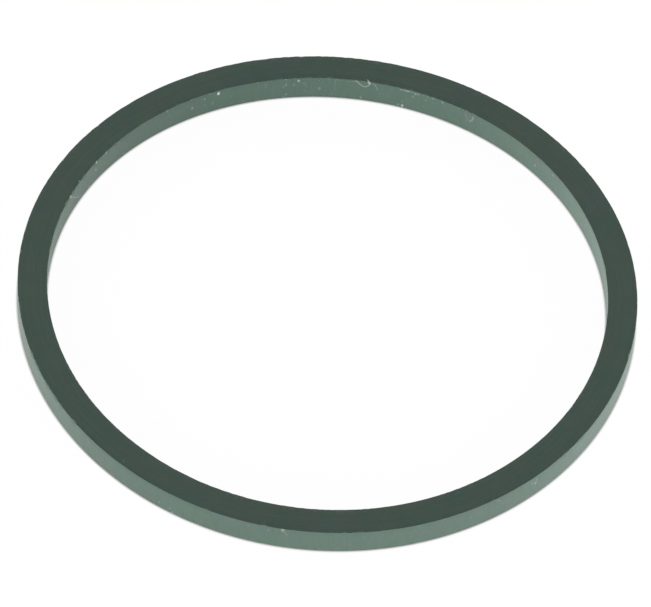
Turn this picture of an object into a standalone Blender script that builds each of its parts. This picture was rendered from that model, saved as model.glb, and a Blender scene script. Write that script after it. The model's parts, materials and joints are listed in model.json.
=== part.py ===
"""Square ring seal: a rubber ring of square section that lies in a groove and seals on its flat sides.

It runs with blender --background --python part.py, or from Blender's text editor.
Units are metres. The ring's axis is +Z, and the origin is the middle of the face that it lies on.
"""

from math import radians

import bpy

# Sizes that can be set by themselves
INSIDE_DIAMETER = 0.03465  # across the bore, with the ring relaxed
SECTION_WIDTH = 0.00178  # radially, from the bore to the outer wall
SECTION_HEIGHT = 0.00178  # along the axis, from the lower face to the upper face
EDGE_RADIUS = 0.00006  # hair-fine round of the four cut corners

# Facets of the turned solid
TURN_STEPS = 180
EDGE_STEPS = 2

# A round may not meet the one across the same side of the section
LARGEST_EDGE_SHARE = 0.45
# The screw's first and last rings of points coincide, and are welded within this distance
WELD_DISTANCE = 1e-6
# Corners sharper than this are rounded, and the small turns between facets are not
CORNER_ANGLE = radians(45)

# The rubber's look: a dull, dark green-grey
RUBBER_COLOUR = (0.056, 0.080, 0.068, 1.0)  # linear
RUBBER_ROUGHNESS = 0.6


def clear_scene():
    """Remove every object that the file was opened with."""
    for thing in list(bpy.data.objects):
        bpy.data.objects.remove(thing, do_unlink=True)


def rubber():
    """Moulded and lathe-cut rubber, which is not a metal and has a soft, wide gloss."""
    material = bpy.data.materials.new("seal_rubber")
    material.use_nodes = True
    shader = material.node_tree.nodes["Principled BSDF"]
    shader.inputs["Base Color"].default_value = RUBBER_COLOUR
    shader.inputs["Roughness"].default_value = RUBBER_ROUGHNESS
    shader.inputs["Metallic"].default_value = 0.0
    return material


def section_outline():
    """The square section at +X, as a closed loop that runs down its outer side first."""
    bore_x = INSIDE_DIAMETER / 2
    outer_x = bore_x + SECTION_WIDTH
    corners = [
        (outer_x, 0, SECTION_HEIGHT),
        (outer_x, 0, 0),
        (bore_x, 0, 0),
        (bore_x, 0, SECTION_HEIGHT),
    ]
    sides = [(n, (n + 1) % len(corners)) for n in range(len(corners))]
    outline = bpy.data.meshes.new("square_ring")
    outline.from_pydata(corners, sides, [])
    return outline


def turn(ring):
    """Turn the section once round +Z and weld the ends, which makes one closed ring."""
    screw = ring.modifiers.new("turned_section", "SCREW")
    screw.axis = "Z"
    screw.angle = radians(360)
    screw.steps = TURN_STEPS
    screw.render_steps = TURN_STEPS
    screw.use_merge_vertices = True
    screw.merge_threshold = WELD_DISTANCE
    screw.use_smooth_shade = True


def round_corners(ring):
    """Round the four circular corners, and leave the flats between them flat."""
    thinnest = min(SECTION_WIDTH, SECTION_HEIGHT)
    bevel = ring.modifiers.new("cut_corners", "BEVEL")
    bevel.width = min(EDGE_RADIUS, LARGEST_EDGE_SHARE * thinnest)
    bevel.segments = EDGE_STEPS
    bevel.limit_method = "ANGLE"
    bevel.angle_limit = CORNER_ANGLE
    bevel.harden_normals = True


def square_ring():
    """The whole seal, which is one solid: a tube of rubber is cut across into rings like this."""
    ring = bpy.data.objects.new("square_ring", section_outline())
    ring.data.materials.append(rubber())
    turn(ring)
    round_corners(ring)
    return ring


def main():
    clear_scene()
    seal = bpy.data.collections.new("square_ring_seal")
    bpy.context.scene.collection.children.link(seal)
    seal.objects.link(square_ring())


main()
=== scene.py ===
"""Square ring seal: a small, dull green-grey rubber ring of square section, on a white studio floor.

The file is laid out as a Blender add-on and is run as a script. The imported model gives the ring's sizes.
The ring is turned again here with a finer skin. Its corners are torn and nicked in places, it lies a little
out of round, as rubber does that nothing holds, and there is dust and a curl of lint on its walls.
Units are metres, +Z is the ring's axis, and the origin is the middle of the face that it lies on.
"""

import json
from math import atan2, cos, hypot, pi, radians, sin, tau

import bmesh
import bpy
from bpy.props import FloatProperty, FloatVectorProperty, IntProperty, PointerProperty
from mathutils import Matrix, Vector, noise
from mathutils.bvhtree import BVHTree


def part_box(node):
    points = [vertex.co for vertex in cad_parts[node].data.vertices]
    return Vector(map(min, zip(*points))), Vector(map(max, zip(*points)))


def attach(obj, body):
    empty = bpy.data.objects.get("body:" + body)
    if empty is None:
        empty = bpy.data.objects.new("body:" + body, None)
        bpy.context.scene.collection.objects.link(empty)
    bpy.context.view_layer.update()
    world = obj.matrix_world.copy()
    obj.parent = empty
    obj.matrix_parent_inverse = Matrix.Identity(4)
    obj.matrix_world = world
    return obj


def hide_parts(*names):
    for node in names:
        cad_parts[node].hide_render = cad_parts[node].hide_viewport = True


bl_info = {
    "name": "Square ring seal",
    "version": (1, 0, 0),
    "blender": (4, 5, 0),
    "location": "3D View > Sidebar > Ring Seal",
    "description": "Makes a square-section rubber ring seal with its dust, and the stage that it is seen on",
    "category": "Object",
}


def mm(length):
    """A length given in millimetres, in metres."""
    return length * 0.001


def linear(code):
    """The linear colour of an sRGB hex code such as #43504A."""
    channels = [int(code[n:n + 2], 16) / 255 for n in (1, 3, 5)]
    return tuple(c / 12.92 if c <= 0.04045 else ((c + 0.055) / 1.055) ** 2.4 for c in channels)


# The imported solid
NODE = "square_ring"
BODY = "root"

# The photograph's frame, in pixels, which the places of the dust below are given in
PHOTO_WIDTH = 651
PHOTO_HEIGHT = 607

# The spin's first and last rings of points coincide, and are welded within this distance
WELD_DISTANCE = mm(0.001)
# Edges that bend more sharply than this are corners of the section
CORNER_ANGLE = radians(45)
# Every corner starts with this small round, which is then torn wider
CORNER_START = mm(0.02)
# Points this near to a corner are its own. The next ones on a flat side are many times as far off
CORNER_REACH = 2 * CORNER_START
# No tear is narrower than this share of its usual width
LEAST_TEAR = 0.2
# Added to the noise that says where a corner is torn, so that more than half of it is
MORE_TORN = 0.2
# How far a nick reaches along the wall, as a share of how far it reaches across the face
NICK_ON_WALL = 0.5
# How many times a relaxed ring bulges in one turn: its lobes, and the two ends of its oval
LOBES = 3
OVAL_ENDS = 2
# How much the large flat faces decide how the corners beside them are shaded, from 1 to 100
FLATS_WEIGHT = 100

# Which finish a face of the ring has, as its material number
CUT_FACE, OUTER_WALL, BORE_WALL = 0, 1, 2

# Vulcanised rubber's usual value
RUBBER_IOR = 1.5
# Nearly all of a noise texture's values lie between these
NOISE_LOW, NOISE_HIGH = 0.3, 0.7
# Filler is 0.02 mm or finer. It is drawn coarser, because this is two pixels of the photograph
FILLER_SIZE = mm(0.12)
# Tool marks lie this far apart, and are this many times as long, round a cut face and up a wall
MARK_SPACING = mm(0.18)
CUT_MARK_LENGTH = 30
DRAWN_MARK_LENGTH = 5
# The filler and the tool marks each darken and lighten the rubber by up to this share
TONE_CHANGE = 0.05
# The filler makes the rubber rougher and smoother by up to this much
ROUGHNESS_CHANGE = 0.06
# Patches of bloom are about this long, and change red, green and blue by up to half of these shares
PATCH_LENGTH = mm(1.3)
PATCH_STRENGTH = Vector((0.30, 0.18, 0.26))
# The rubber is made lighter towards +X this many times as much as it is made darker towards -X
LIGHTEN_TO_DARKEN_RATIO = 3
# Loose powder is balls this far apart. Each fades between these two shares of that distance from its middle
POWDER_SPACING = mm(0.62)
POWDER_CORE, POWDER_RIM = 0.05, 0.11
# A thin pale veil reaches this many outer radii from the ring's +X end
WHITENING_REACH = 1.5
# Filler, tool marks and dust each stand up to this high, and this share of that shows
BUMP_HEIGHT = mm(0.02)
BUMP_STRENGTH = 0.3
# The filler's noise shakes the outlines of grains and threads by up to half of this
OUTLINE_SHAKE = mm(0.04)
# A grain that settles on a wall smears along the ring's axis, to about this many times its width
GRAIN_SMEAR = 1.5
# A mark is at its whitest up to the first share of its radius, and has faded out at the second
MARK_CORE, MARK_RIM = 0.2, 1.4

# Dust grains: where each shows in the photograph, its width in mm, and how white it is
GRAINS = [
    # on the bore's wall and its upper corner, from left to right
    (70.9, 197.0, 0.16, 0.95),
    (79.5, 181.3, 0.14, 0.38),
    (88.7, 185.9, 0.10, 0.30),
    (95.9, 169.8, 0.12, 0.42),
    (96.7, 162.4, 0.14, 0.55),
    (106.3, 152.9, 0.13, 0.42),
    (123.5, 153.4, 0.10, 0.30),
    (167.3, 111.4, 0.13, 0.20),
    (192.2, 108.3, 0.15, 0.28),
    (191.4, 99.9, 0.12, 0.20),
    (204.7, 99.1, 0.12, 0.24),
    (204.7, 105.0, 0.12, 0.08),
    (209.7, 93.8, 0.13, 0.12),
    (212.5, 103.3, 0.18, 0.06),
    (218.6, 93.6, 0.20, 0.80),
    (265.6, 84.9, 0.13, 0.10),
    (265.6, 87.6, 0.13, 0.10),
    (285.9, 79.2, 0.14, 0.22),
    (285.9, 84.9, 0.15, 0.16),
    (283.2, 87.2, 0.13, 0.08),
    (286.2, 94.2, 0.16, 0.12),
    (294.1, 84.9, 0.14, 0.12),
    (298.7, 80.8, 0.16, 0.45),
    (304.8, 91.0, 0.14, 0.05),
    (310.1, 77.6, 0.15, 0.07),
    (316.7, 78.9, 0.16, 0.03),
    (319.3, 88.3, 0.20, 0.14),
    (331.2, 93.8, 0.16, 0.06),
    (337.0, 79.6, 0.14, 0.07),
    (360.7, 97.4, 0.16, 0.18),
    (380.0, 93.6, 0.20, 0.04),
    (402.2, 105.6, 0.17, 0.62),
    (398.0, 104.4, 0.14, 0.22),
    (415.6, 94.3, 0.16, 0.26),
    (412.9, 96.8, 0.15, 0.18),
    (418.7, 95.2, 0.14, 0.11),
    (423.3, 95.6, 0.13, 0.10),
    (425.9, 100.2, 0.17, 0.11),
    (427.6, 97.0, 0.14, 0.11),
    (432.8, 98.8, 0.15, 0.17),
    (436.6, 99.6, 0.13, 0.04),
    (442.4, 102.6, 0.17, 0.20),
    (458.8, 108.6, 0.14, 0.10),
    (523.1, 147.0, 0.14, 0.14),
    (535.1, 165.4, 0.13, 0.40),
    (553.0, 175.6, 0.14, 0.26),
    # on the outer wall and its upper corner, from left to right
    (123.5, 461.2, 0.20, 0.05),
    (159.2, 501.9, 0.14, 0.20),
    (170.0, 508.4, 0.12, 0.20),
    (172.3, 512.3, 0.13, 0.26),
    (267.9, 529.8, 0.15, 0.10),
    (282.8, 530.2, 0.24, 0.31),
    (349.8, 544.4, 0.14, 0.05),
    (442.9, 519.6, 0.14, 0.04),
    (503.2, 503.4, 0.14, 0.08),
    (532.4, 483.3, 0.13, 0.16),
    (535.3, 483.2, 0.16, 0.38),
]

# Threads: for each, its width in mm, how white it is, and the points that it passes in the photograph
THREADS = [
    # the curl of lint on the bore's wall
    (0.09, 0.18, [(353.8, 81.4), (356.2, 80.9)]),
    (0.12, 0.26, [(356.2, 80.9), (358.0, 82.3)]),
    (0.10, 0.28, [(358.0, 82.3), (360.3, 84.6), (363.0, 86.3), (365.6, 86.8), (368.3, 85.7), (370.2, 84.0)]),
    (0.10, 0.48, [(367.7, 80.2), (368.8, 81.8)]),
    (0.15, 0.60, [(368.8, 81.8), (369.6, 83.4)]),
    (0.08, 0.17, [(372.7, 83.4), (375.2, 85.3), (376.7, 87.6), (377.5, 90.4)]),
    (0.07, 0.10, [(303.9, 83.0), (306.8, 86.0)]),
    # a faint streak down the bore's wall, and torn rubber above it
    (0.12, 0.04, [(335.4, 80.5), (334.8, 85.0), (334.6, 90.0)]),
    (0.08, 0.05, [(337.0, 80.2), (345.0, 81.0), (352.4, 81.8)]),
    # two short fibres, crossed
    (0.09, 0.14, [(465.4, 113.0), (465.9, 116.0), (467.4, 119.2), (469.2, 121.4)]),
    (0.08, 0.08, [(466.6, 114.6), (469.8, 117.2), (473.2, 116.8)]),
    (0.12, 0.24, [(473.4, 116.9), (472.9, 118.9), (471.6, 120.5), (469.8, 121.6)]),
    # torn rubber along the bore's upper corner
    (0.08, 0.30, [(400.0, 89.6), (404.0, 90.2)]),
    (0.13, 0.38, [(405.8, 90.9), (408.6, 91.3)]),
    (0.08, 0.17, [(408.6, 91.3), (413.5, 92.9), (419.5, 94.2)]),
    # a hair-thin arc near the left end of the bore's wall
    (0.06, 0.22, [(72.9, 196.8), (75.3, 197.6), (78.4, 197.2), (80.8, 195.6)]),
    # on the outer wall
    (0.11, 0.11, [(283.6, 531.6), (287.4, 535.6)]),
    (0.08, 0.17, [(493.4, 499.8), (500.4, 501.0)]),
    (0.10, 0.20, [(537.1, 478.4), (535.6, 482.6)]),
]

# The floor lies this far under the ring, and reaches far past what the camera sees
FLOOR_DROP = mm(0.01)
FLOOR_SIZE = 4.0
# A contact shadow is painted into the floor's glow: darkest where half of the sky is open, at a wall's foot,
# and plain where three quarters is
FOOT_SKY, PLAIN_SKY = 0.5, 0.75
SKY_SAMPLES = 16
# The first lamp stands half a step round from +X. With six, one is then behind the camera and one faces it
FIRST_LAMP = 0.5
# The camera's sensor, in millimetres
SENSOR_WIDTH = 36.0
# The camera sees from this many times nearer than the ring to this many times farther
CLIP_RATIO = 10

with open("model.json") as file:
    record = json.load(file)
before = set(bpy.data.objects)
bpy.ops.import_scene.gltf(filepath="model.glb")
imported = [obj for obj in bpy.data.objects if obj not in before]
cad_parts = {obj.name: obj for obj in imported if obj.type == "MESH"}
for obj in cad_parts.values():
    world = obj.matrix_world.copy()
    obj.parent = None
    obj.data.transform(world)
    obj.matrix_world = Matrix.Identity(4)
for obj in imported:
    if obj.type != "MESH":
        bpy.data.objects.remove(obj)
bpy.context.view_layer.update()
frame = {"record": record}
RING_LOW, RING_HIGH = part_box(NODE)
# The lower face's mount sits halfway across the face, so it gives the width of the section
FACE_MIDDLE = next(m for m in frame["record"]["mounts"] if m["name"] == "lower_face")["pos_m"][0]


class SealShape(bpy.types.PropertyGroup):
    """The ring's sizes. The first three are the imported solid's."""

    outer_radius: FloatProperty(
        name="Outer radius", description="From the axis to the outer wall",
        default=RING_HIGH.x, min=0, unit="LENGTH")
    section_width: FloatProperty(
        name="Section width", description="From the bore's wall to the outer wall",
        default=2 * (RING_HIGH.x - FACE_MIDDLE), min=0, unit="LENGTH")
    section_height: FloatProperty(
        name="Section height", description="From the lower face to the upper one",
        default=RING_HIGH.z - RING_LOW.z, min=0, unit="LENGTH")
    tear_on_face: FloatProperty(
        name="Tear on the face", description="How far a corner's torn rubber reaches across the cut face",
        default=mm(0.025), min=mm(0.01), unit="LENGTH")
    tear_on_wall: FloatProperty(
        name="Tear on the wall", description="How far a corner's torn rubber reaches along the wall",
        default=mm(0.02), min=mm(0.01), unit="LENGTH")
    tear_length: FloatProperty(
        name="Tear length", description="Length of a tear along a corner",
        default=mm(0.3), min=0, unit="LENGTH")
    tear_change: FloatProperty(
        name="Tear change", description="How strongly the reach of the tears across the face varies",
        default=14.0, min=0)
    tear_stretch: FloatProperty(
        name="Tear stretch", description="Length of the torn and of the clean stretches of a corner",
        default=mm(3.0), min=0, unit="LENGTH")
    tear_place: FloatProperty(
        name="Tear place", description="Moves the torn stretches to about where the photograph has them",
        default=mm(322.0), unit="LENGTH")
    face_tilt: FloatProperty(
        name="Face tilt", description="Upward share of the steepest facet that still is cut face",
        default=0.95, min=0, max=1)
    nick_depth: FloatProperty(
        name="Nick depth", description="How much farther a nick reaches than a tear",
        default=mm(0.10), min=0, unit="LENGTH")
    nick_length: FloatProperty(
        name="Nick length", description="Length of a nick along a corner",
        default=mm(0.8), min=0, unit="LENGTH")
    nick_rarity: FloatProperty(
        name="Nick rarity", description="0 nicks half of every corner, and 1 nicks none of it",
        default=0.15, min=0, max=1, subtype="FACTOR")
    free_lobe: FloatProperty(
        name="Free lobe", description="How deep a relaxed ring's lobes are, as a share of its radius",
        default=0.0031, min=0, subtype="FACTOR")
    free_oval: FloatProperty(
        name="Free oval", description="How far it is drawn out along a diagonal, as a share of its radius",
        default=0.0042, min=0, subtype="FACTOR")
    flare: FloatProperty(
        name="Flare", description="How much farther out than on a true square the upper outer edge stands",
        default=mm(0.045), min=0, unit="LENGTH")
    turn_steps: IntProperty(
        name="Turn steps", description="Facets round the ring", default=1440, min=24)
    corner_steps: IntProperty(
        name="Corner steps", description="Facets across each corner's round", default=4, min=1)
    side_rows: IntProperty(
        name="Side rows", description="Rows of facets across each flat side", default=4, min=1)


class SealFinish(bpy.types.PropertyGroup):
    """The rubber's colours, the same compound with three finishes, and its dust."""

    face_colour: FloatVectorProperty(
        name="Cut faces", description="Knife-cut rubber, clean and darkest",
        default=linear("#4C5C54"), subtype="COLOR", min=0, max=1)
    outer_colour: FloatVectorProperty(
        name="Outer wall", description="Ground rubber, which looks lighter because it is rough",
        default=linear("#4F675B"), subtype="COLOR", min=0, max=1)
    bore_colour: FloatVectorProperty(
        name="Bore wall", description="Rubber with the bloom that the mandrel's powder leaves",
        default=linear("#435B4F"), subtype="COLOR", min=0, max=1)
    dust_colour: FloatVectorProperty(
        name="Dust and lint", description="Powder, grains, fibres and a curl of lint",
        default=linear("#D8E2DA"), subtype="COLOR", min=0, max=1)


class SealStudio(bpy.types.PropertyGroup):
    """Camera, lamps and floor."""

    camera_elevation: FloatProperty(
        name="Camera elevation", description="How far the camera looks down",
        default=radians(50.12), subtype="ANGLE")
    camera_roll: FloatProperty(
        name="Camera roll", description="How far the camera is turned about its line of sight",
        default=radians(3.78), subtype="ANGLE")
    camera_distance: FloatProperty(
        name="Camera distance", description="From the ring's middle, 40 outer radii",
        default=40 * RING_HIGH.x, unit="LENGTH")
    camera_aside: FloatProperty(
        name="Camera aside", description="Moves the camera to its right, and so the ring left in its view",
        default=mm(-0.049), unit="LENGTH")
    camera_rise: FloatProperty(
        name="Camera rise", description="Moves the camera up in its frame, and so the ring down in its view",
        default=mm(0.360), unit="LENGTH")
    focal_pixels: FloatProperty(
        name="Focal length", description="In pixels of the photograph", default=12397)
    lamp_count: IntProperty(
        name="Lamps", description="Low softboxes all round the ring", default=6, min=1)
    lamp_width: FloatProperty(
        name="Lamp width", description="Level side of a softbox", default=1.2, unit="LENGTH")
    lamp_height: FloatProperty(
        name="Lamp height", description="Upright side of a softbox", default=0.4, unit="LENGTH")
    lamp_elevation: FloatProperty(
        name="Lamp elevation", description="How high the softboxes stand, seen from the ring",
        default=radians(11), subtype="ANGLE")
    lamp_distance: FloatProperty(
        name="Lamp distance", description="From the ring's middle", default=1.6, unit="LENGTH")
    lamp_light: FloatProperty(
        name="Lamp light", description="Of one softbox on what faces it, where 1 shows white as white",
        default=0.42, min=0)
    sky_light: FloatProperty(
        name="Sky light", description="Even light from above, where 1 shows white as white",
        default=0.25, min=0)
    floor_colour: FloatProperty(
        name="Floor colour", description="How much light the floor returns to the ring",
        default=0.85, min=0, max=1)
    floor_glow: FloatProperty(
        name="Floor glow", description="How white the floor looks by itself, before the lamps' light on it",
        default=0.935, min=0, max=1)
    # The painted contact shadow: the floor's glow is dimmed towards the ring's foot
    contact_shadow_glow: FloatProperty(
        name="Contact glow", description="How much of the floor's glow is left at the ring's foot",
        default=0.35, min=0, max=1)
    contact_shadow_reach: FloatProperty(
        name="Contact reach", description="How far from the ring the floor darkens towards its foot",
        default=mm(0.3), min=0, unit="LENGTH")
    shadow_share: FloatProperty(
        name="Shadow share", description="How much of the lamps' light and shadow the floor shows",
        default=0.12, min=0, max=1)


def seal_node(tree, kind, inputs=None, **settings):
    """Add a node, set its properties, and fill its inputs with values or with other nodes' outputs."""
    made = tree.nodes.new(kind)
    for name, value in settings.items():
        setattr(made, name, value)
    for name, value in (inputs or {}).items():
        if isinstance(value, bpy.types.NodeSocket):
            tree.links.new(value, made.inputs[name])
        else:
            made.inputs[name].default_value = value
    return made


def camera_axes(studio):
    """The camera's right, up and backward directions."""
    tilt, roll = studio.camera_elevation, studio.camera_roll
    back = Vector((0, -cos(tilt), sin(tilt)))
    level = Vector((1, 0, 0))
    raised = back.cross(level)
    right = cos(roll) * level + sin(roll) * raised
    return right, back.cross(right), back


def camera_place(studio):
    """Where the camera stands."""
    right, up, back = camera_axes(studio)
    return back * studio.camera_distance + right * studio.camera_aside + up * studio.camera_rise


def sight_line(studio, column, row):
    """The direction in which the camera sees a pixel of the photograph."""
    right, up, back = camera_axes(studio)
    across = (column - PHOTO_WIDTH / 2) / studio.focal_pixels
    upward = (PHOTO_HEIGHT / 2 - row) / studio.focal_pixels
    return (right * across + up * upward - back).normalized()


def polar(point):
    """A point's distance from the axis and its angle round it."""
    return hypot(point.x, point.y), atan2(point.y, point.x)


def turned_section(shape):
    """The square section turned once round, with its four corners rounded."""
    outer = shape.outer_radius
    bore = outer - shape.section_width
    ring = bmesh.new()
    corners = [ring.verts.new((x, 0, z)) for x, z in
               ((outer, shape.section_height), (outer, 0), (bore, 0), (bore, shape.section_height))]
    sides = [ring.edges.new((corners[n - 1], corners[n])) for n in range(len(corners))]
    bmesh.ops.subdivide_edges(ring, edges=sides, cuts=shape.side_rows - 1)
    bmesh.ops.spin(
        ring, geom=ring.verts[:] + ring.edges[:], cent=(0, 0, 0), axis=(0, 0, 1), dvec=(0, 0, 0),
        angle=tau, steps=shape.turn_steps, use_merge=True, use_duplicate=False)
    bmesh.ops.remove_doubles(ring, verts=ring.verts, dist=WELD_DISTANCE)
    bmesh.ops.recalc_face_normals(ring, faces=ring.faces)
    ring.normal_update()
    creases = [e for e in ring.edges if e.calc_face_angle(0) > CORNER_ANGLE]
    bmesh.ops.bevel(
        ring, geom=creases, offset=CORNER_START, offset_type="OFFSET", segments=shape.corner_steps,
        profile=0.5, affect="EDGES", clamp_overlap=True, material=-1)
    return ring


def share_finishes(ring, shape):
    """The flats that face up or down are cut faces, and the rest belongs to the wall that it is nearest."""
    middle = shape.outer_radius - shape.section_width / 2
    ring.normal_update()
    for face in ring.faces:
        radius, _ = polar(face.calc_center_median())
        if abs(face.normal.z) > shape.face_tilt:
            face.material_index = CUT_FACE
        else:
            face.material_index = OUTER_WALL if radius > middle else BORE_WALL
        face.smooth = True


def torn_reach(shape, place):
    """How far a corner is torn across the face and along the wall, at a place on its circle."""
    stretch = (place + Vector((0, 0, shape.tear_place))) / shape.tear_stretch
    rough = max(0.0, MORE_TORN + noise.noise(stretch))
    torn = max(LEAST_TEAR, 1 + rough * shape.tear_change * noise.noise(place / shape.tear_length))
    nick = shape.nick_depth * max(0.0, noise.noise(place / shape.nick_length) - shape.nick_rarity)
    return shape.tear_on_face * torn + nick, shape.tear_on_wall + nick * NICK_ON_WALL


def tear_corners(ring, shape):
    """Widen the corners' rounds unevenly along their length, as a blade that drags leaves them."""
    outer = shape.outer_radius
    bore = outer - shape.section_width
    corners = [(r, z) for r in (outer, bore) for z in (0, shape.section_height)]
    for vert in ring.verts:
        radius, turn = polar(vert.co)
        for number, (corner_radius, corner_z) in enumerate(corners):
            inwards, along = radius - corner_radius, vert.co.z - corner_z
            if abs(inwards) < CORNER_REACH and abs(along) < CORNER_REACH:
                # Each corner reads the noise along a circle of its own, so that no two are torn alike
                place = Vector((corner_radius * cos(turn), corner_radius * sin(turn), number * outer))
                on_face, on_wall = torn_reach(shape, place)
                radius = corner_radius + inwards * on_face / CORNER_START
                vert.co = (radius * cos(turn), radius * sin(turn), corner_z + along * on_wall / CORNER_START)
                break


def relax(ring, shape):
    """Put the ring out of shape, as rubber that nothing holds: shallow lobes, a slight oval and a flare."""
    outer = shape.outer_radius
    bore = outer - shape.section_width
    depth = shape.free_lobe * outer
    draw = shape.free_oval * outer
    # The tips would reach this far out of the round ring's box
    spare = (LOBES * depth + OVAL_ENDS * draw) ** 2 / (2 * outer)
    for vert in ring.verts:
        radius, turn = polar(vert.co)
        across, up = (radius - bore) / (outer - bore), vert.co.z / shape.section_height
        waves = depth * sin(LOBES * turn) - draw * sin(OVAL_ENDS * turn)
        radius += waves - spare - shape.flare * (1 - across * up)
        # One lobe points to -Y and none to +Y, so the ring moves by a lobe's depth to stay in its box
        vert.co = (radius * cos(turn), radius * sin(turn) + depth, vert.co.z)


class Dust:
    """The grains and thread pieces that lie on one finish."""

    def __init__(self):
        self.grains = []
        self.threads = []


def settle_dust(ring, studio):
    """Drop each grain and thread on the skin where the photograph shows it, and sort them by finish."""
    skin = BVHTree.FromBMesh(ring)
    ring.faces.ensure_lookup_table()
    eye = camera_place(studio)
    dust = {CUT_FACE: Dust(), OUTER_WALL: Dust(), BORE_WALL: Dust()}

    def settle(column, row):
        place, _, face, _ = skin.ray_cast(eye, sight_line(studio, column, row))
        if place is None:
            raise RuntimeError(f"no rubber under the dust at {column}, {row}")
        return place, ring.faces[face].material_index

    for column, row, width, white in GRAINS:
        place, finish = settle(column, row)
        dust[finish].grains.append((place, mm(width) / 2, white))
    for width, white, points in THREADS:
        settled = [settle(column, row) for column, row in points]
        for (start, start_finish), (end, end_finish) in zip(settled, settled[1:]):
            for finish in {start_finish, end_finish}:
                dust[finish].threads.append((start, end, mm(width) / 2, white))
    return dust


def lay_mark(tree, mask, distance, radius, white):
    """Add one soft-edged grain or thread piece to the mask, from the distance to its middle."""
    mark = seal_node(
        tree, "ShaderNodeMapRange",
        {"Value": distance, "From Min": MARK_CORE * radius, "From Max": MARK_RIM * radius,
         "To Min": white, "To Max": 0.0},
        interpolation_type="SMOOTHSTEP")
    both = seal_node(tree, "ShaderNodeMath", {0: mask, 1: mark.outputs["Result"]}, operation="MAXIMUM")
    return both.outputs[0]


def dust_mask(tree, where, powder, dust):
    """White where a grain or a thread lies, on top of the powder.

    Each mark joins the mask as soon as it is made, because the renderer can't hold them all at once.
    """
    mask = powder
    unsmeared = Vector((1, 1, 1 / GRAIN_SMEAR))
    squeezed = seal_node(tree, "ShaderNodeVectorMath", {0: where, 1: unsmeared}, operation="MULTIPLY")
    for spot, radius, white in dust.grains:
        distance = seal_node(
            tree, "ShaderNodeVectorMath",
            {0: squeezed.outputs["Vector"], 1: spot * unsmeared}, operation="DISTANCE")
        mask = lay_mark(tree, mask, distance.outputs["Value"], radius, white)
    for start, end, radius, white in dust.threads:
        run = end - start
        away = seal_node(tree, "ShaderNodeVectorMath", {0: where, 1: start}, operation="SUBTRACT")
        share = seal_node(
            tree, "ShaderNodeVectorMath",
            {0: away.outputs["Vector"], 1: run / run.length_squared}, operation="DOT_PRODUCT")
        share = seal_node(tree, "ShaderNodeClamp", {"Value": share.outputs["Value"]})
        nearest = seal_node(
            tree, "ShaderNodeVectorMath", {0: run, "Scale": share.outputs["Result"]}, operation="SCALE")
        distance = seal_node(
            tree, "ShaderNodeVectorMath",
            {0: away.outputs["Vector"], 1: nearest.outputs["Vector"]}, operation="DISTANCE")
        mask = lay_mark(tree, mask, distance.outputs["Value"], radius, white)
    return mask


def knife_lay(tree, where):
    """Runs the tool marks round the axis, as a blade leaves them on a tube that turns against it."""
    flat = seal_node(tree, "ShaderNodeVectorMath", {0: where, 1: (1.0, 1.0, 0.0)}, operation="MULTIPLY")
    radius = seal_node(tree, "ShaderNodeVectorMath", {0: flat.outputs["Vector"]}, operation="LENGTH")
    drift = seal_node(
        tree, "ShaderNodeVectorMath",
        {0: flat.outputs["Vector"], "Scale": 1 / CUT_MARK_LENGTH}, operation="SCALE")
    lay = seal_node(
        tree, "ShaderNodeVectorMath",
        {0: drift.outputs["Vector"], 1: radius.outputs["Value"]}, operation="ADD")
    return lay.outputs["Vector"]


def draw_lay(tree, where):
    """Runs the tool marks along the axis, as drawing the tube off its mandrel leaves them."""
    lay = seal_node(
        tree, "ShaderNodeVectorMath", {0: where, 1: (1.0, 1.0, 1 / DRAWN_MARK_LENGTH)}, operation="MULTIPLY")
    return lay.outputs["Vector"]


def uneven_rubber(tree, where, colour, filler, marks, bloom):
    """The compound's one colour, made uneven by its filler, tool marks and patches of bloom, and made
    lighter towards +X and darker towards -X.
    """
    filler_tone = seal_node(
        tree, "ShaderNodeMapRange",
        {"Value": filler.outputs["Fac"], "From Min": NOISE_LOW, "From Max": NOISE_HIGH,
         "To Min": 1 - TONE_CHANGE, "To Max": 1 + TONE_CHANGE})
    mark_tone = seal_node(
        tree, "ShaderNodeMapRange",
        {"Value": marks.outputs["Fac"], "From Min": NOISE_LOW, "From Max": NOISE_HIGH,
         "To Min": 1 - TONE_CHANGE, "To Max": 1 + TONE_CHANGE})
    # Some patches of bloom are greener and some are greyer
    patches = seal_node(
        tree, "ShaderNodeTexNoise",
        {"Vector": where, "Scale": 1 / PATCH_LENGTH, "Detail": 2.0, "Roughness": 0.5})
    patch_tint = seal_node(
        tree, "ShaderNodeVectorMath",
        {0: patches.outputs["Color"], 1: PATCH_STRENGTH, 2: Vector((1, 1, 1)) - PATCH_STRENGTH / 2},
        operation="MULTIPLY_ADD")
    # The rubber is made lighter towards +X and darker towards -X, by as much as bloom says
    place = seal_node(tree, "ShaderNodeSeparateXYZ", {"Vector": where})
    plus_x_tone = seal_node(
        tree, "ShaderNodeMapRange",
        {"Value": place.outputs["X"], "From Min": -RING_HIGH.x, "From Max": RING_HIGH.x,
         "To Min": 1 - bloom / LIGHTEN_TO_DARKEN_RATIO, "To Max": 1 + bloom})
    tone = seal_node(
        tree, "ShaderNodeMath",
        {0: filler_tone.outputs["Result"], 1: mark_tone.outputs["Result"]}, operation="MULTIPLY")
    tone = seal_node(
        tree, "ShaderNodeMath", {0: tone.outputs[0], 1: plus_x_tone.outputs["Result"]}, operation="MULTIPLY")
    tinted = seal_node(
        tree, "ShaderNodeVectorMath", {0: colour[:], 1: patch_tint.outputs["Vector"]}, operation="MULTIPLY")
    toned = seal_node(
        tree, "ShaderNodeVectorMath",
        {0: tinted.outputs["Vector"], "Scale": tone.outputs[0]}, operation="SCALE")
    return toned.outputs["Vector"]


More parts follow.
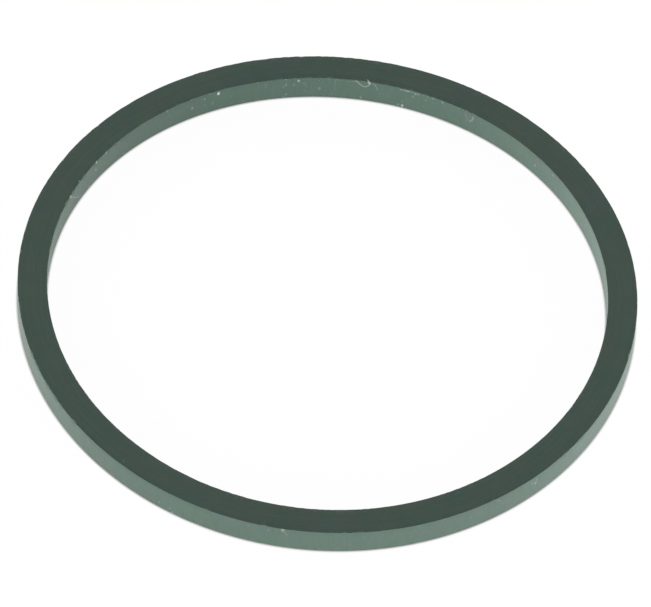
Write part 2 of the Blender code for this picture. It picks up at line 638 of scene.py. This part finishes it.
def dust_and_veil(tree, where, filler, powder, veil, dust):
    """How white each place is made: loose powder, a thin veil that is whitest towards +X, and then the
    grains and threads.
    """
    # The surface slices through scattered balls, so that its spots come in all sizes up to 0.14 mm
    scatter = seal_node(
        tree, "ShaderNodeTexVoronoi", {"Vector": where, "Scale": 1 / POWDER_SPACING}, feature="F1")
    loose = seal_node(
        tree, "ShaderNodeMapRange",
        {"Value": scatter.outputs["Distance"], "From Min": POWDER_CORE, "From Max": POWDER_RIM,
         "To Min": powder, "To Max": 0.0},
        interpolation_type="SMOOTHSTEP")
    # The noise lies between 0 and 1, so half of the shake is taken off again and no mark moves as a whole
    shaken = seal_node(
        tree, "ShaderNodeVectorMath",
        {0: filler.outputs["Color"], 1: (OUTLINE_SHAKE,) * 3, 2: where}, operation="MULTIPLY_ADD")
    centred = seal_node(
        tree, "ShaderNodeVectorMath",
        {0: shaken.outputs["Vector"], 1: (OUTLINE_SHAKE / 2,) * 3}, operation="SUBTRACT")
    # The veil is whitest at the ring's +X end and fades away from it
    whitest_end = Vector((RING_HIGH.x, 0, 0))
    from_whitest_end = seal_node(tree, "ShaderNodeVectorMath", {0: where, 1: whitest_end}, operation="DISTANCE")
    whitening = seal_node(
        tree, "ShaderNodeMapRange",
        {"Value": from_whitest_end.outputs["Value"], "From Min": 0.0, "From Max": WHITENING_REACH * RING_HIGH.x,
         "To Min": veil, "To Max": 0.0},
        interpolation_type="SMOOTHSTEP")
    powder_and_veil = seal_node(
        tree, "ShaderNodeMath", {0: loose.outputs["Result"], 1: whitening.outputs["Result"]}, operation="ADD")
    return dust_mask(tree, centred.outputs["Vector"], powder_and_veil.outputs[0], dust)


def rubber(name, colour, finish, dust, lay, powder, bloom, veil, roughness, gloss, fuzz):
    """Filled synthetic rubber, which is no metal, with its tool marks, patches of bloom and dust, made
    lighter and whiter towards +X.
    """
    material = bpy.data.materials.new(name)
    material.use_nodes = True
    tree = material.node_tree
    shader = tree.nodes["Principled BSDF"]
    shader.inputs["IOR"].default_value = RUBBER_IOR
    shader.inputs["Metallic"].default_value = 0.0
    shader.inputs["Specular IOR Level"].default_value = gloss
    shader.inputs["Sheen Weight"].default_value = fuzz
    where = seal_node(tree, "ShaderNodeTexCoord").outputs["Object"]

    filler = seal_node(
        tree, "ShaderNodeTexNoise",
        {"Vector": where, "Scale": 1 / FILLER_SIZE, "Detail": 3.0, "Roughness": 0.6})
    marks = seal_node(
        tree, "ShaderNodeTexNoise",
        {"Vector": lay(tree, where), "Scale": 1 / MARK_SPACING, "Detail": 2.0, "Roughness": 0.5})
    toned = uneven_rubber(tree, where, colour, filler, marks, bloom)
    whitened = dust_and_veil(tree, where, filler, powder, veil, dust)
    dusty = seal_node(
        tree, "ShaderNodeMix",
        {"Factor": whitened, "A": toned, "B": (*finish.dust_colour, 1.0)}, data_type="RGBA")
    tree.links.new(dusty.outputs["Result"], shader.inputs["Base Color"])

    uneven_gloss = seal_node(
        tree, "ShaderNodeMapRange",
        {"Value": filler.outputs["Fac"], "From Min": NOISE_LOW, "From Max": NOISE_HIGH,
         "To Min": roughness - ROUGHNESS_CHANGE, "To Max": roughness + ROUGHNESS_CHANGE})
    tree.links.new(uneven_gloss.outputs["Result"], shader.inputs["Roughness"])

    height = seal_node(
        tree, "ShaderNodeMath", {0: filler.outputs["Fac"], 1: marks.outputs["Fac"]}, operation="ADD")
    height = seal_node(tree, "ShaderNodeMath", {0: height.outputs[0], 1: whitened}, operation="ADD")
    bump = seal_node(
        tree, "ShaderNodeBump",
        {"Height": height.outputs[0], "Strength": BUMP_STRENGTH, "Distance": BUMP_HEIGHT})
    tree.links.new(bump.outputs["Normal"], shader.inputs["Normal"])
    return material


def knife_cut_rubber(finish, dust):
    # Sliced off a turning tube by a wet blade: a clean, even cut, which looks dark and matt from any side
    return rubber(
        "knife_cut_rubber", finish.face_colour, finish, dust, knife_lay,
        powder=0.0, bloom=0.0, veil=0.0, roughness=0.55, gloss=0.05, fuzz=0.0)


def ground_rubber(finish, dust):
    # The tube's outside, ground to size: the rough surface scatters light, and shines softly at low angles
    # Here bloom makes the rubber lighter towards +X and darker towards -X, and veil whitens it towards +X
    return rubber(
        "ground_rubber", finish.outer_colour, finish, dust, draw_lay,
        powder=0.12, bloom=0.10, veil=0.03, roughness=0.5, gloss=0.5, fuzz=0.17)


def powdered_rubber(finish, dust):
    # The tube's inside, cured on a mandrel that was dusted so that it lets go: smooth, with a pale bloom
    # Here bloom makes the rubber lighter towards +X and darker towards -X, and veil whitens it towards +X
    return rubber(
        "powdered_rubber", finish.bore_colour, finish, dust, draw_lay,
        powder=0.15, bloom=0.35, veil=0.085, roughness=0.5, gloss=0.5, fuzz=0.065)


class SEAL_OT_square_ring(bpy.types.Operator):
    """Turn the ring with its fine corners, and give its faces and walls their rubber"""

    bl_idname = "seal.square_ring"
    bl_label = "Square ring"

    def execute(self, context):
        scene = context.scene
        shape, finish, studio = scene.seal_shape, scene.seal_finish, scene.seal_studio
        ring = turned_section(shape)
        share_finishes(ring, shape)
        tear_corners(ring, shape)
        relax(ring, shape)
        dust = settle_dust(ring, studio)

        skin = bpy.data.meshes.new("square_ring_skin")
        ring.to_mesh(skin)
        ring.free()
        # In the order of their numbers CUT_FACE, OUTER_WALL and BORE_WALL
        skin.materials.append(knife_cut_rubber(finish, dust[CUT_FACE]))
        skin.materials.append(ground_rubber(finish, dust[OUTER_WALL]))
        skin.materials.append(powdered_rubber(finish, dust[BORE_WALL]))

        piece = bpy.data.objects.new("square_ring_skin", skin)
        context.scene.collection.objects.link(piece)
        flats = piece.modifiers.new("flat_sides", "WEIGHTED_NORMAL")
        flats.mode = "FACE_AREA"
        flats.weight = FLATS_WEIGHT
        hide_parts(NODE)
        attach(piece, BODY)
        return {"FINISHED"}


def grey(level):
    """A neutral colour, from 0 for black to 1 for white."""
    return (level, level, level, 1.0)


def white_to_camera(tree, seen_shader, lit_shader):
    """Show one shader to the camera and to reflections, and light the ring with the other."""
    rays = seal_node(tree, "ShaderNodeLightPath")
    looked_at = seal_node(
        tree, "ShaderNodeMath",
        {0: rays.outputs["Is Camera Ray"], 1: rays.outputs["Is Glossy Ray"]}, operation="MAXIMUM")
    looked_at = seal_node(
        tree, "ShaderNodeMath",
        {0: looked_at.outputs[0], 1: rays.outputs["Is Transmission Ray"]}, operation="MAXIMUM")
    return seal_node(
        tree, "ShaderNodeMixShader", {0: looked_at.outputs[0], 1: lit_shader, 2: seen_shader}).outputs[0]


def white_card(studio):
    # Studio card, matt paper: plain white to look at, with the ring's faint shadow from the lamps left on
    # it, and a contact shadow painted into its glow at the ring's foot
    material = bpy.data.materials.new("white_card")
    material.use_nodes = True
    tree = material.node_tree
    tree.nodes.clear()
    card = seal_node(tree, "ShaderNodeBsdfDiffuse", {"Color": grey(studio.floor_colour)})
    shaded = seal_node(tree, "ShaderNodeBsdfDiffuse", {"Color": grey(studio.shadow_share)})
    # Painted contact shadow: the glow is dimmed where the ring hides the nearby sky
    open_sky = seal_node(
        tree, "ShaderNodeAmbientOcclusion", {"Distance": studio.contact_shadow_reach}, samples=SKY_SAMPLES)
    painted_contact_shadow = seal_node(
        tree, "ShaderNodeMapRange",
        {"Value": open_sky.outputs["AO"], "From Min": FOOT_SKY, "From Max": PLAIN_SKY,
         "To Min": studio.floor_glow * studio.contact_shadow_glow, "To Max": studio.floor_glow})
    glow = seal_node(tree, "ShaderNodeEmission", {"Strength": painted_contact_shadow.outputs["Result"]})
    seen = seal_node(tree, "ShaderNodeAddShader", {0: shaded.outputs[0], 1: glow.outputs[0]})
    surface = white_to_camera(tree, seen.outputs[0], card.outputs[0])
    seal_node(tree, "ShaderNodeOutputMaterial", {"Surface": surface})
    return material


def make_floor(context, studio):
    """A wide flat floor, just under the ring's lower face."""
    ground = bmesh.new()
    bmesh.ops.create_grid(ground, x_segments=1, y_segments=1, size=FLOOR_SIZE)
    bmesh.ops.translate(ground, verts=ground.verts, vec=(0, 0, -FLOOR_DROP))
    mesh = bpy.data.meshes.new("floor")
    ground.to_mesh(mesh)
    ground.free()
    mesh.materials.append(white_card(studio))
    floor = bpy.data.objects.new("floor", mesh)
    context.scene.collection.objects.link(floor)


def make_sky(context, studio):
    """Even soft light, and a white backdrop where the camera and reflections look past the floor."""
    world = bpy.data.worlds.new("studio")
    world.use_nodes = True
    tree = world.node_tree
    tree.nodes.clear()
    white = grey(1.0)
    backdrop = seal_node(tree, "ShaderNodeBackground", {"Color": white, "Strength": 1.0})
    light = seal_node(tree, "ShaderNodeBackground", {"Color": white, "Strength": studio.sky_light})
    surface = white_to_camera(tree, backdrop.outputs[0], light.outputs[0])
    seal_node(tree, "ShaderNodeOutputWorld", {"Surface": surface})
    context.scene.world = world


def make_lamps(context, studio):
    """Low softboxes all round, which light the walls more than the faces."""
    for number in range(studio.lamp_count):
        turn = tau * (number + FIRST_LAMP) / studio.lamp_count
        level = studio.lamp_elevation
        towards = Vector((cos(turn) * cos(level), sin(turn) * cos(level), sin(level)))
        data = bpy.data.lights.new(f"softbox_{number + 1}", "AREA")
        data.shape = "RECTANGLE"
        data.size = studio.lamp_width
        data.size_y = studio.lamp_height
        # A flat lamp of this power gives the wanted light, times pi, at its distance
        data.energy = studio.lamp_light * pi * pi * studio.lamp_distance ** 2
        lamp = bpy.data.objects.new(data.name, data)
        lamp.matrix_world = (
            Matrix.Translation(towards * studio.lamp_distance)
            @ towards.to_track_quat("Z", "Y").to_matrix().to_4x4())
        lamp.visible_camera = False
        context.scene.collection.objects.link(lamp)


def make_camera(context, studio):
    """The photograph's view: far off, looking down, and rolled a little."""
    data = bpy.data.cameras.new("camera")
    data.sensor_width = SENSOR_WIDTH
    data.lens = studio.focal_pixels * SENSOR_WIDTH / PHOTO_WIDTH
    data.clip_start = studio.camera_distance / CLIP_RATIO
    data.clip_end = studio.camera_distance * CLIP_RATIO
    camera = bpy.data.objects.new("camera", data)
    right, up, back = camera_axes(studio)
    turned = Matrix((right, up, back)).transposed().to_4x4()
    camera.matrix_world = Matrix.Translation(camera_place(studio)) @ turned
    context.scene.collection.objects.link(camera)
    context.scene.camera = camera


class SEAL_OT_stage(bpy.types.Operator):
    """Set the white floor, the soft lamps and the camera"""

    bl_idname = "seal.stage"
    bl_label = "Stage"

    def execute(self, context):
        studio = context.scene.seal_studio
        make_floor(context, studio)
        make_sky(context, studio)
        make_lamps(context, studio)
        make_camera(context, studio)
        context.scene.view_settings.view_transform = "Standard"
        return {"FINISHED"}


class SEAL_PT_sidebar(bpy.types.Panel):
    """Sizes, colours and buttons"""

    bl_label = "Ring Seal"
    bl_idname = "SEAL_PT_sidebar"
    bl_space_type = "VIEW_3D"
    bl_region_type = "UI"
    bl_category = "Ring Seal"

    def draw(self, context):
        scene = context.scene
        for group in (scene.seal_shape, scene.seal_finish, scene.seal_studio):
            box = self.layout.box()
            for name in group.__annotations__:
                box.prop(group, name)
        for operator in (SEAL_OT_square_ring, SEAL_OT_stage):
            self.layout.operator(operator.bl_idname)


CLASSES = (SealShape, SealFinish, SealStudio, SEAL_OT_square_ring, SEAL_OT_stage, SEAL_PT_sidebar)


def register():
    for one in CLASSES:
        bpy.utils.register_class(one)
    bpy.types.Scene.seal_shape = PointerProperty(type=SealShape)
    bpy.types.Scene.seal_finish = PointerProperty(type=SealFinish)
    bpy.types.Scene.seal_studio = PointerProperty(type=SealStudio)


def unregister():
    del bpy.types.Scene.seal_studio
    del bpy.types.Scene.seal_finish
    del bpy.types.Scene.seal_shape
    for one in reversed(CLASSES):
        bpy.utils.unregister_class(one)


def main():
    register()
    bpy.ops.seal.square_ring()
    bpy.ops.seal.stage()


if __name__ == "__main__":
    main()
